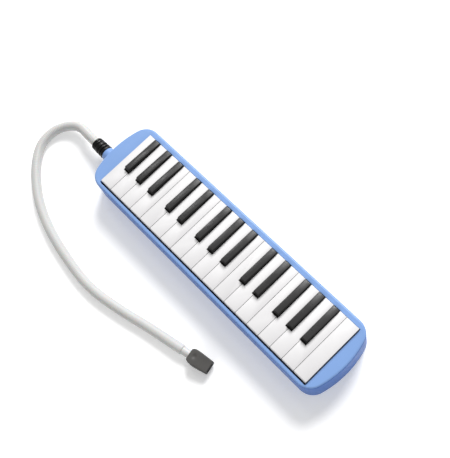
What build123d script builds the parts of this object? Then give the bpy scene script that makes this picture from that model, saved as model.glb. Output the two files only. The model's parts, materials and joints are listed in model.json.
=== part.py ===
"""Melodica with a blow hose: two-part case, wind board, reed chamber, rocking keys and mouthpiece.

Frame: millimetres, +X along the keyboard from the low notes to the high notes, +Y from the player's
side to the back of the keys, +Z up. The origin is on the floor, under the middle of the instrument.
"""

import math
import os

from build123d import *

# ---------------------------------------------------------------- driving dimensions
WHITE_PITCH = 19.0
WHITE_COUNT = 19
KEY_LENGTH = 84.8
CASE_HEIGHT = 40.0
CASE_DEPTH = 100.0
CASE_LEFT = -195.0
CASE_RIGHT = 208.0
INLET_MOUTH = -207.8
WALL = 2.2

# ---------------------------------------------------------------- case
END_RADIUS = 125.0
CORNER_RADIUS = 21.0
TOP_THICKNESS = 2.4
TOP_EDGE_RADIUS = 2.5
BOTTOM_EDGE_RADIUS = 2.0
SEAM_Z = 8.0
SIDE_Y = CASE_DEPTH / 2
BOSS_RADIUS = 2.4
BOSS_Y = SIDE_Y - WALL - BOSS_RADIUS - 0.2
FRONT_BOSS_TOP = 28.0
PILOT_RADIUS = 1.15
SCREW_RADIUS = 1.1

# ---------------------------------------------------------------- keyboard
KEYS_RIGHT = CASE_RIGHT - 18.0
KEYS_LEFT = KEYS_RIGHT - WHITE_COUNT * WHITE_PITCH
KEY_FRONT = -43.2
KEY_BACK = KEY_FRONT + KEY_LENGTH
KEY_GAP = 0.5
WHITE_TOP_Z = CASE_HEIGHT + 3.0
SKIRT_Z = 35.0
WHITE_PLATE = 2.2
SKIRT_WALL = 1.4
BLACK_FRONT = -12.0
BLACK_FRONT_GAP = 1.3
BLACK_BACK = KEY_BACK - 0.6
BLACK_WIDTH = 9.2
BLACK_TOP_WIDTH = 7.6
BLACK_FRONT_Z = WHITE_TOP_Z + 5.5
BLACK_BACK_Z = WHITE_TOP_Z + 2.8
BLACK_SLOPE = 2.0
BLACK_SIDE_GAP = 0.5
# Black keys by the white boundary that they stand on, with their offset from it.
BLACK_OFFSETS = {"F": -3.2, "G": 0.0, "A": 3.6, "C": -1.2, "D": 2.2}
NOTE_ORDER = "FGABCDE"
OPENING_SIDE_GAP = 0.9
OPENING_FRONT = KEY_FRONT - 2.0
OPENING_BACK = KEY_BACK + 0.8

# ---------------------------------------------------------------- key levers
PIVOT_Y = 12.0
PIVOT_Z = 30.5
ROD_RADIUS = 1.2
ROD_CLEARANCE = 0.1
RIB_WIDTH = 3.0
RIB_Z = 33.0
WHITE_LEVER = 8.0
BLACK_LEVER = 6.0
HUB_LENGTH = 8.0
PAD_WIDTH = 8.0
PAD_FRONT = 23.5
PAD_BACK = 36.5
PAD_THICKNESS = 2.0
PAD_GAP = 0.15

# ---------------------------------------------------------------- wind board and reeds
BOARD_BOTTOM = 20.5
BOARD_TOP = 26.0
BOARD_SKIN = 1.5
BOARD_LEFT = KEYS_LEFT - 6.0
BOARD_RIGHT = KEYS_RIGHT + 4.0
BOARD_HALF = 42.4
CELL_WIDTH = 7.2
CELL_BACK = 35.5
WINDOW_WIDTH = 5.2
WINDOW_FRONT = 25.0
WINDOW_BACK = 35.0
REED_TIP = 22.0
REED_LONGEST = 30.0
REED_STEP = 0.5
REED_THICKNESS = 0.3
PLATE_THICKNESS = 1.0
PLATE_FRONT = -20.0
PLATE_BACK = 36.0
RIVET_Y = REED_TIP + 2.0
POST_THICKNESS = 2.0
POST_TOP = PIVOT_Z + 3.1
POST_AFTER = (3, 6, 9, 11, 15, 18, 21, 23, 27, 30)
TAB_HOLE_RADIUS = 1.2

# ---------------------------------------------------------------- stops and springs
FRONT_STOP_FRONT = -41.0
FRONT_STOP_BACK = -33.0
FRONT_FELT_Z = 27.2
FRONT_FELT_TOP = 29.1
BLACK_STOP_FRONT = -12.2
BLACK_STOP_BACK = -8.6
BLACK_FELT_Z = 28.7
BLACK_FELT_TOP = 30.8
FELT_INSET = 0.1
SPRING_FRONT = -31.0
SPRING_BASE_BACK = -24.0
SPRING_KNEE = -13.0
SPRING_KNEE_Z = 31.5
SPRING_TIP = -4.0
SPRING_SHEET = 0.4
SPRING_FINGER = 2.4
SPRING_SCREW_Y = -27.5
SPRING_GAP = 0.06
GUIDE_FRONT = -20.0
GUIDE_BACK = -17.0
GUIDE_TOP = 35.5
GUIDE_THICKNESS = 1.4
GUIDE_GAP = 0.6

# ---------------------------------------------------------------- chamber cover
COVER_BOTTOM = 10.8
COVER_FLOOR = 1.5
COVER_WALL = 1.6
GASKET = 1.0
FLANGE = 2.0
FLANGE_WIDTH = 5.0
FLANGE_TOP = BOARD_BOTTOM - GASKET
FLANGE_FRONT = -27.0
FLANGE_BACK = 42.2
INLET_Y = -10.5
INLET_Z = 19.0
INLET_BOSS_RADIUS = 9.2
INLET_NECK_RADIUS = 7.6
INLET_BORE_RADIUS = 5.5
BOX_LEFT = CASE_LEFT + 5.4
BOX_RIGHT = BOARD_LEFT - 0.6
BOX_HALF = 11.0
BOX_TOP = 29.0

# ---------------------------------------------------------------- drain valve
DRAIN_X = 176.0
DRAIN_Y = -8.0
DRAIN_HEAD_RADIUS = 5.6
DRAIN_HEAD_BOTTOM = 0.6
DRAIN_HEAD_TOP = 3.0
DRAIN_STEM_RADIUS = 1.5
DRAIN_SPRING_RADIUS = 3.0
DRAIN_WIRE_RADIUS = 0.3
DRAIN_TURNS = 5
SEAL_BOTTOM = COVER_BOTTOM + COVER_FLOOR + 0.05
SEAL_TOP = SEAL_BOTTOM + 1.5
CLIP_TOP = SEAL_TOP + 0.8

# ---------------------------------------------------------------- hand strap
STRAP_HALF = 61.0
STRAP_WIDTH = 24.0
STRAP_BOTTOM = 1.0
STRAP_THICKNESS = 1.4
RECESS_HALF_X = 46.0
RECESS_HALF_Y = 24.0
RECESS_DEPTH = 8.4
RECESS_SKIN = 1.8

# ---------------------------------------------------------------- hose
HOSE_RADIUS = 6.6
HOSE_BORE = 5.0
CUFF_RADIUS = 5.3
CUFF_BORE = 4.0
CUFF_LENGTH = 10.5
CONNECTOR_LENGTH = 21.8
CONNECTOR_RADIUS = 8.1
# The connector's rings: start from its outer end, length and radius.
CONNECTOR_RINGS = [
    (0.0, 2.6, 8.7),
    (3.4, 2.8, 8.9),
    (7.0, 5.2, 9.2),
    (13.3, 3.4, 9.3),
    (17.7, 4.1, 9.4),
]
CONNECTOR_GAP = 0.1
SPIGOT_RADIUS = 6.5
SPIGOT_LENGTH = 14.0
SPIGOT_CLEARANCE = 0.08
# The route of the hose's centre line, from the connector to the mouthpiece.
HOSE_ROUTE = [
    (INLET_MOUTH - CONNECTOR_GAP - CONNECTOR_LENGTH, INLET_Y, INLET_Z),
    (-247.6, INLET_Y, INLET_Z),
    (-269.0, -8.6, 13.4),
    (-287.0, -18.8, 8.6),
    (-297.5, -37.2, 6.9),
    (-296.7, -59.2, 6.7),
    (-284.7, -78.4, 6.7),
    (-262.1, -98.4, 6.7),
    (-229.6, -118.7, 6.7),
    (-186.0, -133.5, 6.7),
    (-138.0, -141.5, 6.7),
    (-92.0, -145.5, 6.7),
    (-46.0, -138.0, 6.7),
    (2.0, -125.5, 6.7),
    (43.0, -117.0, 8.2),
    (64.0, -112.5, 8.2),
]
RUN_SHARE = 0.48

MOUTHPIECE_LENGTH = 29.0
MOUTHPIECE_SOCKET = 9.0


# ---------------------------------------------------------------- plain shapes
def block(x0, x1, y0, y1, z0, z1):
    """A box between two corners."""
    centre = Pos((x0 + x1) / 2, (y0 + y1) / 2, (z0 + z1) / 2)
    return centre * Box(x1 - x0, y1 - y0, z1 - z0)


def post(x, y, z0, z1, radius):
    """An upright cylinder."""
    return Pos(x, y, (z0 + z1) / 2) * Cylinder(radius, z1 - z0)


def bar(x0, x1, y, z, radius):
    """A cylinder along X."""
    return Pos((x0 + x1) / 2, y, z) * Rot(0, 90, 0) * Cylinder(radius, x1 - x0)


def prism_x(x0, x1, outline):
    """An outline of (y, z) points, carried from x0 to x1."""
    face = make_face(Polyline(*[(x0, y, z) for y, z in outline], close=True))
    return extrude(face, amount=x1 - x0, dir=(1, 0, 0))


def prism_y(y0, y1, outline):
    """An outline of (x, z) points, carried from y0 to y1."""
    face = make_face(Polyline(*[(x, y0, z) for x, z in outline], close=True))
    return extrude(face, amount=y1 - y0, dir=(0, 1, 0))


def case_slab(inset, z0, z1):
    """The case's outline, with its two bowed ends, moved in by inset and carried from z0 to z1."""
    half = SIDE_Y - inset
    radius = END_RADIUS - inset
    bow = radius - math.sqrt(radius**2 - half**2)
    left, right = CASE_LEFT + inset, CASE_RIGHT - inset
    edges = [
        Line((left + bow, -half), (right - bow, -half)),
        ThreePointArc((right - bow, -half), (right, 0), (right - bow, half)),
        Line((right - bow, half), (left + bow, half)),
        ThreePointArc((left + bow, half), (left, 0), (left + bow, -half)),
    ]
    face = make_face(edges)
    face = fillet(face.vertices(), CORNER_RADIUS - inset)
    return Pos(0, 0, z0) * extrude(face, amount=z1 - z0)


def screw(x, y, under_head, head_radius, head_height, tip, radius=SCREW_RADIUS):
    """A screw driven upwards, with a hexagon socket in its head."""
    head = post(x, y, under_head - head_height, under_head, head_radius)
    shank = post(x, y, under_head, tip, radius)
    socket = extrude(RegularPolygon(head_radius * 0.5, 6), amount=head_height * 0.6)
    return head + shank - Pos(x, y, under_head - head_height) * socket


# ---------------------------------------------------------------- where the keys are
def key_table():
    """Every key in the order of its notes: its kind, number, lever middle and white outline."""
    keys = []
    blacks = {}
    for white in range(1, WHITE_COUNT):
        note = NOTE_ORDER[(white - 1) % 7]
        if note in BLACK_OFFSETS:
            blacks[white] = KEYS_LEFT + white * WHITE_PITCH + BLACK_OFFSETS[note]
    notch = BLACK_WIDTH / 2 + BLACK_SIDE_GAP
    black_number = 0
    for white in range(WHITE_COUNT):
        x0 = KEYS_LEFT + white * WHITE_PITCH + KEY_GAP / 2
        x1 = x0 + WHITE_PITCH - KEY_GAP
        back0 = blacks[white] + notch if white in blacks else x0
        back1 = blacks[white + 1] - notch if white + 1 in blacks else x1
        keys.append(
            {
                "node": f"white_key_{white + 1:02d}",
                "front": (x0, x1),
                "back": (back0, back1),
                "x": (back0 + back1) / 2,
                "lever": WHITE_LEVER,
            }
        )
        if white + 1 in blacks:
            black_number += 1
            keys.append(
                {
                    "node": f"black_key_{black_number:02d}",
                    "x": blacks[white + 1],
                    "lever": BLACK_LEVER,
                }
            )
    return keys


KEYS = key_table()


def gap_after(index):
    """The middle of the space between one key's lever and the next."""
    here, after = KEYS[index], KEYS[index + 1]
    return (here["x"] + here["lever"] / 2 + after["x"] - after["lever"] / 2) / 2


# ---------------------------------------------------------------- keys
def lever(key, front, top_z):
    """What every key has under its top: rib, pivot hub, pad carrier and the pad glued to it."""
    x, half = key["x"], key["lever"] / 2
    back = KEY_BACK - SKIRT_WALL
    rib = block(x - RIB_WIDTH / 2, x + RIB_WIDTH / 2, front, back, RIB_Z, top_z)
    hub_half = HUB_LENGTH / 2
    hub = block(x - half, x + half, PIVOT_Y - hub_half, PIVOT_Y + hub_half, PIVOT_Z - 2.9, top_z)
    pad_top = BOARD_TOP + PAD_GAP + PAD_THICKNESS
    carrier = block(x - half, x + half, PAD_FRONT, PAD_BACK, pad_top, top_z)
    hole = bar(x - 10, x + 10, PIVOT_Y, PIVOT_Z, ROD_RADIUS + ROD_CLEARANCE)
    return rib + hub + carrier, hole


def pad(key):
    """The soft pad that closes the key's window in the wind board."""
    x, bottom = key["x"], BOARD_TOP + PAD_GAP
    half = PAD_WIDTH / 2
    return block(x - half, x + half, PAD_FRONT, PAD_BACK, bottom, bottom + PAD_THICKNESS)


def white_key(key):
    """A hollow white key: wide front, narrow back beside the black keys, rounded front edge."""
    (x0, x1), (b0, b1) = key["front"], key["back"]
    shoulder = BLACK_FRONT - BLACK_FRONT_GAP
    wall, roof = SKIRT_WALL, WHITE_TOP_Z - WHITE_PLATE
    edge = 1.0
    profile = [
        (KEY_FRONT, SKIRT_Z),
        (shoulder, SKIRT_Z),
        (shoulder, WHITE_TOP_Z),
        (KEY_FRONT + edge, WHITE_TOP_Z),
        (KEY_FRONT, WHITE_TOP_Z - edge),
    ]
    shell = prism_x(x0, x1, profile) + block(b0, b1, shoulder, KEY_BACK, SKIRT_Z, WHITE_TOP_Z)
    shell -= block(x0 + wall, x1 - wall, KEY_FRONT + wall, shoulder - wall, SKIRT_Z, roof)
    shell -= block(b0 + wall, b1 - wall, shoulder - wall - 1, KEY_BACK - wall, SKIRT_Z, roof)
    arm, hole = lever(key, KEY_FRONT + wall, roof + 0.5)
    return Compound([shell + arm - hole, pad(key)])


def black_key(key):
    """A hollow black key: sloping front, sides that lean in, and a top that falls to the back."""
    x, half, top_half = key["x"], BLACK_WIDTH / 2, BLACK_TOP_WIDTH / 2
    profile = [
        (BLACK_FRONT, SKIRT_Z),
        (BLACK_BACK, SKIRT_Z),
        (BLACK_BACK, BLACK_BACK_Z),
        (BLACK_FRONT + BLACK_SLOPE, BLACK_FRONT_Z),
        (BLACK_FRONT, WHITE_TOP_Z),
    ]
    shell = prism_x(x - half, x + half, profile)
    high = BLACK_FRONT_Z + 1
    lean = (half - top_half) * (high - WHITE_TOP_Z) / (BLACK_FRONT_Z - WHITE_TOP_Z)
    for side in (-1, 1):
        edge = x + side * half
        corner = [(edge, WHITE_TOP_Z), (edge - side * lean, high), (edge + side, high)]
        shell -= prism_y(BLACK_FRONT - 1, BLACK_BACK + 1, corner)
    wall, roof = SKIRT_WALL, WHITE_TOP_Z + 1.0
    inside = half - wall
    shell -= block(x - inside, x + inside, BLACK_FRONT + wall, BLACK_BACK - wall, SKIRT_Z, roof)
    arm, hole = lever(key, BLACK_FRONT + wall, roof + 0.4)
    return Compound([shell + arm - hole, pad(key)])


# ---------------------------------------------------------------- screw places
CASE_SCREWS = [(x, side * BOSS_Y) for side in (-1, 1) for x in (-160.0, -55.0, 55.0, 160.0)]
BACK_TABS = [(x, BOSS_Y) for x in (-108.0, 0.0, 108.0)]
END_TABS = [(-181.5, 30.0), (-181.5, -34.0), (197.0, 24.0), (197.0, -24.0)]
STRAP_SCREWS = [(x, y) for x in (-54.0, 54.0) for y in (-6.0, 6.0)]
COVER_SCREWS = [(x, y) for y in (-24.5, 40.1) for x in (-152, -97, -42, 13, 68, 123, 178)]


# ---------------------------------------------------------------- case
def top_case():
    """The upper shell: side walls, flat top, key opening, its inner rim and the screw bosses."""
    ceiling = CASE_HEIGHT - TOP_THICKNESS
    shell = case_slab(0, SEAM_Z, CASE_HEIGHT)
    top_edges = shell.edges().group_by(Axis.Z)[-1]
    shell = fillet(top_edges, TOP_EDGE_RADIUS)
    shell -= case_slab(WALL, SEAM_Z, ceiling)
    x0, x1 = KEYS_LEFT - OPENING_SIDE_GAP, KEYS_RIGHT + OPENING_SIDE_GAP
    rim = block(x0 - 1.6, x1 + 1.6, OPENING_FRONT - 1.6, OPENING_BACK + 1.6, 34.2, ceiling)
    shell += rim
    for x, y in CASE_SCREWS:
        boss_top = ceiling if y > 0 else FRONT_BOSS_TOP
        shell += post(x, y, WALL, boss_top, BOSS_RADIUS)
        web = math.copysign(SIDE_Y - WALL / 2, y)
        shell += block(x - 1, x + 1, min(y, web), max(y, web), SEAM_Z, boss_top)
    for x, y in BACK_TABS:
        shell += post(x, y, BOARD_TOP, ceiling, BOSS_RADIUS)
    for x, y in END_TABS:
        shell += post(x, y, BOARD_TOP, ceiling, BOSS_RADIUS + 0.6)
    shell -= block(x0, x1, OPENING_FRONT, OPENING_BACK, 30.0, CASE_HEIGHT + 1)
    for x, y in CASE_SCREWS:
        shell -= post(x, y, 0, 14.0, PILOT_RADIUS)
    for x, y in BACK_TABS + END_TABS:
        shell -= post(x, y, BOARD_TOP - 1, BOARD_TOP + 7, PILOT_RADIUS)
    shell -= bar(CASE_LEFT - 5, BOX_LEFT, INLET_Y, INLET_Z, INLET_NECK_RADIUS + 0.1)
    return shell


def bottom_cover():
    """The lower shell: floor, low rim, the recess that the hand strap bridges, and its holes."""
    shell = case_slab(0, 0, SEAM_Z)
    low_edges = shell.edges().group_by(Axis.Z)[0]
    shell = fillet(low_edges, BOTTOM_EDGE_RADIUS)
    shell -= case_slab(WALL, WALL, SEAM_Z)
    skin, deep = RECESS_SKIN, RECESS_DEPTH
    hx, hy = RECESS_HALF_X, RECESS_HALF_Y
    shell += block(-hx - skin, hx + skin, -hy - skin, hy + skin, 0.5, deep + skin)
    seat = STRAP_BOTTOM + STRAP_THICKNESS
    end, side = STRAP_HALF + 0.5, STRAP_WIDTH / 2 + 0.5
    shell += block(-end - skin, end + skin, -side - skin, side + skin, 0.5, seat + 4.6)
    shell -= block(-hx, hx, -hy, hy, 0, deep)
    shell -= block(-end, end, -side, side, 0, seat)
    for x, y in STRAP_SCREWS:
        shell -= post(x, y, 0, seat + 4.0, PILOT_RADIUS)
    for x, y in CASE_SCREWS:
        shell -= post(x, y, 0, WALL, PILOT_RADIUS)
        shell -= post(x, y, 0, 1.2, 2.4)
    shell -= post(DRAIN_X, DRAIN_Y, 0, WALL, DRAIN_HEAD_RADIUS + 0.6)
    return shell


def case_screws():
    """Screws from below, through the bottom cover into the top case."""
    return Compound([screw(x, y, 1.2, 2.2, 1.0, 12.0) for x, y in CASE_SCREWS])


# ---------------------------------------------------------------- hand strap
def hand_strap():
    """A flat strap across the recess, for the player's hand."""
    top = STRAP_BOTTOM + STRAP_THICKNESS
    strap = block(-STRAP_HALF, STRAP_HALF, -STRAP_WIDTH / 2, STRAP_WIDTH / 2, STRAP_BOTTOM, top)
    strap = fillet(strap.edges().filter_by(Axis.Z), 4.0)
    for x, y in STRAP_SCREWS:
        strap -= post(x, y, 0, top, PILOT_RADIUS)
    return strap


def strap_screws():
    """Screws that hold the strap's two ends."""
    return Compound([screw(x, y, STRAP_BOTTOM, 2.4, 0.8, 5.6) for x, y in STRAP_SCREWS])


# ---------------------------------------------------------------- wind board
def reed(index):
    """A key's reed: middle, free length and width, longest on the lowest note."""
    length = REED_LONGEST - REED_STEP * index
    return KEYS[index]["x"], length, 3.0 - 0.03 * index


def plate_screw_places():
    """Reed plate screws, in the walls between cells, front and back of the reeds."""
    return [(gap_after(i), y) for i in (3, 6, 11, 18, 23, 28) for y in (-16.0, 31.0)]


def wind_board():
    """The board that the keys rock on: air cells below, windows above, pivot posts and guides."""
    back_edge = BOSS_Y + BOSS_RADIUS - 0.2
    board = block(BOARD_LEFT, BOARD_RIGHT, -BOARD_HALF, BOARD_HALF, BOARD_BOTTOM, BOARD_TOP)
    for x, _ in BACK_TABS:
        board += block(x - 5, x + 5, BOARD_HALF - 1, back_edge, BOARD_BOTTOM, BOARD_TOP)
    for x, y in END_TABS:
        outer = x - 4 if x < 0 else x + 4
        inner = BOARD_LEFT + 1 if x < 0 else BOARD_RIGHT - 1
        x0, x1 = min(outer, inner), max(outer, inner)
        board += block(x0, x1, y - 5, y + 5, BOARD_BOTTOM, BOARD_TOP)
    x0, x1 = KEYS_LEFT - 1, KEYS_RIGHT
    board += block(x0, x1, FRONT_STOP_FRONT, FRONT_STOP_BACK, BOARD_TOP, FRONT_FELT_Z)
    board += block(x0, x1, BLACK_STOP_FRONT, BLACK_STOP_BACK, BOARD_TOP, BLACK_FELT_Z)
    hub_half = HUB_LENGTH / 2
    for x in post_places():
        half = POST_THICKNESS / 2
        y0, y1 = PIVOT_Y - hub_half, PIVOT_Y + hub_half
        board += block(x - half, x + half, y0, y1, BOARD_TOP, POST_TOP)
    for key in KEYS:
        if "front" in key:
            for side in (-1, 1):
                near = key["x"] + side * (RIB_WIDTH / 2 + GUIDE_GAP)
                far = near + side * GUIDE_THICKNESS
                x0, x1 = min(near, far), max(near, far)
                board += block(x0, x1, GUIDE_FRONT, GUIDE_BACK, BOARD_TOP, GUIDE_TOP)
    for index, key in enumerate(KEYS):
        x, length, _ = reed(index)
        cell, window = CELL_WIDTH / 2, WINDOW_WIDTH / 2
        front, roof = REED_TIP - length - 1, BOARD_TOP - BOARD_SKIN
        board -= block(x - cell, x + cell, front, CELL_BACK, BOARD_BOTTOM, roof)
        board -= block(x - window, x + window, WINDOW_FRONT, WINDOW_BACK, roof, BOARD_TOP)
    board -= bar(BOARD_LEFT - 1, BOARD_RIGHT, PIVOT_Y, PIVOT_Z, ROD_RADIUS + 0.05)
    for x, y in BACK_TABS + END_TABS:
        board -= post(x, y, BOARD_BOTTOM, BOARD_TOP, TAB_HOLE_RADIUS)
    for x, y in COVER_SCREWS:
        board -= post(x, y, BOARD_BOTTOM, BOARD_TOP - 1, 1.0)
    for x, y in plate_screw_places():
        board -= post(x, y, BOARD_BOTTOM, BOARD_TOP - 1, 0.85)
    for x in spring_screw_places():
        board -= post(x, SPRING_SCREW_Y, BOARD_BOTTOM + 1, BOARD_TOP, 0.85)
    return board


def post_places():
    """Pivot posts stand between levers, and one at each end of the rod."""
    middle = [gap_after(index) for index in POST_AFTER]
    left = KEYS[0]["x"] - WHITE_LEVER / 2 - 2.0
    right = KEYS[-1]["x"] + WHITE_LEVER / 2 + 2.4
    return [left] + middle + [right]


def board_screws():
    """Screws from below, through the wind board's tabs into the top case."""
    places = BACK_TABS + END_TABS
    return Compound([screw(x, y, BOARD_BOTTOM, 2.1, 1.4, BOARD_TOP + 6) for x, y in places])


def pivot_rod():
    """The steel rod that every key rocks on."""
    places = post_places()
    return bar(places[0] - 1.4, places[-1] + 1.4, PIVOT_Y, PIVOT_Z, ROD_RADIUS)


# ---------------------------------------------------------------- stops and springs
def stop_felts():
    """Two felt strips: the front one stops the white keys, the other the black keys."""
    x0, x1 = KEYS_LEFT - 0.5, KEYS_RIGHT - 0.5
    y0, y1 = FRONT_STOP_FRONT + FELT_INSET, FRONT_STOP_BACK - FELT_INSET
    front = block(x0, x1, y0, y1, FRONT_FELT_Z, FRONT_FELT_TOP)
    y0, y1 = BLACK_STOP_FRONT + FELT_INSET, BLACK_STOP_BACK - FELT_INSET
    middle = block(x0, x1, y0, y1, BLACK_FELT_Z, BLACK_FELT_TOP)
    return Compound([front, middle])


def spring_screw_places():
    """Screws that hold the spring comb, between its fingers."""
    return [gap_after(index) for index in (2, 9, 15, 21, 28)]


def spring_comb():
    """One sheet of spring steel with a finger under each key's rib."""
    base_top = BOARD_TOP + SPRING_SHEET
    x0, x1 = KEYS[0]["x"] - 4, KEYS[-1]["x"] + 4
    comb = block(x0, x1, SPRING_FRONT, SPRING_BASE_BACK, BOARD_TOP, base_top)
    tip = RIB_Z - SPRING_GAP
    root = SPRING_BASE_BACK - 0.5
    finger = [
        (root, BOARD_TOP),
        (SPRING_BASE_BACK, BOARD_TOP),
        (SPRING_KNEE, SPRING_KNEE_Z - SPRING_SHEET),
        (SPRING_TIP, tip - SPRING_SHEET),
        (SPRING_TIP, tip),
        (SPRING_KNEE, SPRING_KNEE_Z),
        (root, base_top),
    ]
    for key in KEYS:
        half = SPRING_FINGER / 2
        comb += prism_x(key["x"] - half, key["x"] + half, finger)
    for x in spring_screw_places():
        comb -= post(x, SPRING_SCREW_Y, BOARD_TOP, base_top, 0.85)
    return comb


def spring_screws():
    """Small screws from above, through the spring comb into the wind board."""
    top = BOARD_TOP + SPRING_SHEET
    places = spring_screw_places()
    heads = [post(x, SPRING_SCREW_Y, top, top + 1.1, 1.6) for x in places]
    shanks = [post(x, SPRING_SCREW_Y, BOARD_BOTTOM + 1.5, top, 0.8) for x in places]
    y0, y1 = SPRING_SCREW_Y - 0.25, SPRING_SCREW_Y + 0.25
    slots = [block(x - 1.4, x + 1.4, y0, y1, top + 0.6, top + 1.2) for x in places]
    return Compound([head + shank - slot for head, shank, slot in zip(heads, shanks, slots)])


# ---------------------------------------------------------------- reeds
def plate_split():
    """The two reed plates meet between the middle two notes."""
    middle = len(KEYS) // 2
    return (KEYS[middle - 1]["x"] + KEYS[middle]["x"]) / 2


def reed_plate(x0, x1, first, last):
    """A brass plate with a slot for each of its reeds."""
    top = BOARD_BOTTOM
    bottom = top - PLATE_THICKNESS
    plate = block(x0, x1, PLATE_FRONT, PLATE_BACK, bottom, top)
    for index in range(first, last):
        x, length, width = reed(index)
        half = width / 2 + 0.15
        plate -= block(x - half, x + half, REED_TIP - length, REED_TIP, bottom, top)
        plate -= post(x, RIVET_Y, bottom, top, 0.75)
    for x, y in plate_screw_places():
        if x0 < x < x1:
            plate -= post(x, y, bottom, top, 0.85)
    return plate


def reed_plate_low():
    """The plate of the lower sixteen notes."""
    left = BOARD_LEFT + FLANGE_WIDTH + COVER_WALL + 0.6
    return reed_plate(left, plate_split() - 0.3, 0, len(KEYS) // 2)


def reed_plate_high():
    """The plate of the upper sixteen notes."""
    right = BOARD_RIGHT - FLANGE_WIDTH - COVER_WALL - 0.6
    return reed_plate(plate_split() + 0.3, right, len(KEYS) // 2, len(KEYS))


def reed_tongues():
    """The brass tongues that sound, one under each cell."""
    top = BOARD_BOTTOM - PLATE_THICKNESS
    tongues = []
    for index in range(len(KEYS)):
        x, length, width = reed(index)
        y0, y1 = REED_TIP - length + 0.3, REED_TIP + 4
        tongue = block(x - width / 2, x + width / 2, y0, y1, top - REED_THICKNESS, top)
        tongues.append(tongue - post(x, RIVET_Y, top - REED_THICKNESS, top, 0.75))
    return Compound(tongues)


def reed_rivets():
    """One rivet through the root of each tongue and its plate."""
    low = BOARD_BOTTOM - PLATE_THICKNESS - REED_THICKNESS
    rivets = []
    for key in KEYS:
        head = post(key["x"], RIVET_Y, low - 0.4, low, 1.2)
        shank = post(key["x"], RIVET_Y, low, BOARD_BOTTOM, 0.7)
        tail = post(key["x"], RIVET_Y, BOARD_BOTTOM, BOARD_BOTTOM + 0.4, 1.2)
        rivets.append(head + shank + tail)
    return Compound(rivets)


def reed_plate_screws():
    """Small screws from below, through the reed plates into the wind board."""
    under = BOARD_BOTTOM - PLATE_THICKNESS
    return Compound([screw(x, y, under, 1.5, 0.9, 24.5, 0.8) for x, y in plate_screw_places()])


# ---------------------------------------------------------------- chamber
def chamber_cover():
    """The tub that closes the reed chamber from below, with its flange and the inlet box."""
    left, right = BOARD_LEFT + FLANGE_WIDTH, BOARD_RIGHT - FLANGE_WIDTH
    front, back = FLANGE_FRONT + FLANGE_WIDTH, FLANGE_BACK - FLANGE_WIDTH + 0.8
    wall, floor = COVER_WALL, COVER_BOTTOM + COVER_FLOOR
    y0, y1 = INLET_Y - BOX_HALF, INLET_Y + BOX_HALF
    tub = block(left, right, front, back, COVER_BOTTOM, FLANGE_TOP)
    tub += block(BOARD_LEFT, BOARD_RIGHT, FLANGE_FRONT, FLANGE_BACK, FLANGE_TOP - FLANGE, FLANGE_TOP)
    tub += block(BOX_LEFT, BOX_RIGHT, y0, y1, COVER_BOTTOM, BOX_TOP)
    tub += block(BOX_RIGHT - 1, left + 1, y0, y1, COVER_BOTTOM, FLANGE_TOP - 1)
    tub -= block(left + wall, right - wall, front + wall, back - wall, floor, FLANGE_TOP)
    tub -= block(BOX_LEFT + wall, BOX_RIGHT - wall, y0 + wall, y1 - wall, floor, BOX_TOP - wall)
    duct_top = FLANGE_TOP - FLANGE
    tub -= block(BOX_RIGHT - wall - 1, left + wall + 1, y0 + wall, y1 - wall, floor, duct_top)
    tub -= bar(BOX_LEFT - 1, BOX_LEFT + wall + 1, INLET_Y, INLET_Z, INLET_NECK_RADIUS + 0.1)
    tub -= post(DRAIN_X, DRAIN_Y, COVER_BOTTOM, floor, 2.6)
    for x, y in COVER_SCREWS:
        tub -= post(x, y, FLANGE_TOP - FLANGE, FLANGE_TOP, PILOT_RADIUS)
    return tub


def chamber_gasket():
    """The flat ring of rubber between the chamber cover's flange and the wind board."""
    z0, z1 = FLANGE_TOP, BOARD_BOTTOM
    left, right = BOARD_LEFT + FLANGE_WIDTH, BOARD_RIGHT - FLANGE_WIDTH
    front, back = FLANGE_FRONT + FLANGE_WIDTH, FLANGE_BACK - FLANGE_WIDTH + 0.8
    ring = block(BOARD_LEFT, BOARD_RIGHT, FLANGE_FRONT, FLANGE_BACK, z0, z1)
    ring -= block(left, right, front, back, z0, z1)
    for x, y in COVER_SCREWS:
        ring -= post(x, y, z0, z1, PILOT_RADIUS)
    return ring


def chamber_screws():
    """Screws from below, through the flange and gasket into the wind board."""
    under = FLANGE_TOP - FLANGE
    return Compound([screw(x, y, under, 1.9, 1.4, 24.0, 0.95) for x, y in COVER_SCREWS])


# ---------------------------------------------------------------- air inlet
def air_inlet():
    """The socket for the hose: a boss outside the case and a neck that enters the inlet box."""
    boss = bar(INLET_MOUTH, CASE_LEFT + 3, INLET_Y, INLET_Z, INLET_BOSS_RADIUS)
    boss = boss - case_slab(0, SEAM_Z, CASE_HEIGHT)
    neck_end = BOX_LEFT + COVER_WALL + 0.5
    neck = bar(CASE_LEFT - 1, neck_end, INLET_Y, INLET_Z, INLET_NECK_RADIUS)
    socket_end = INLET_MOUTH + SPIGOT_LENGTH + 0.6
    socket = bar(INLET_MOUTH, socket_end, INLET_Y, INLET_Z, SPIGOT_RADIUS + SPIGOT_CLEARANCE)
    passage = bar(INLET_MOUTH, neck_end, INLET_Y, INLET_Z, INLET_BORE_RADIUS)
    inlet = boss + neck - socket - passage
    mouth_edges = inlet.edges().filter_by(GeomType.CIRCLE).group_by(Axis.X)[0]
    outer_edge = mouth_edges.sort_by(SortBy.LENGTH)[-1]
    return chamfer(outer_edge, 0.6)


def inlet_seal():
    """The rubber washer that seals the inlet neck between the case wall and the inlet box."""
    x0, x1 = BOX_LEFT - 1.1, BOX_LEFT
    washer = bar(x0, x1, INLET_Y, INLET_Z, 9.6)
    return washer - bar(x0, x1, INLET_Y, INLET_Z, INLET_NECK_RADIUS + 0.1)


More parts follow.
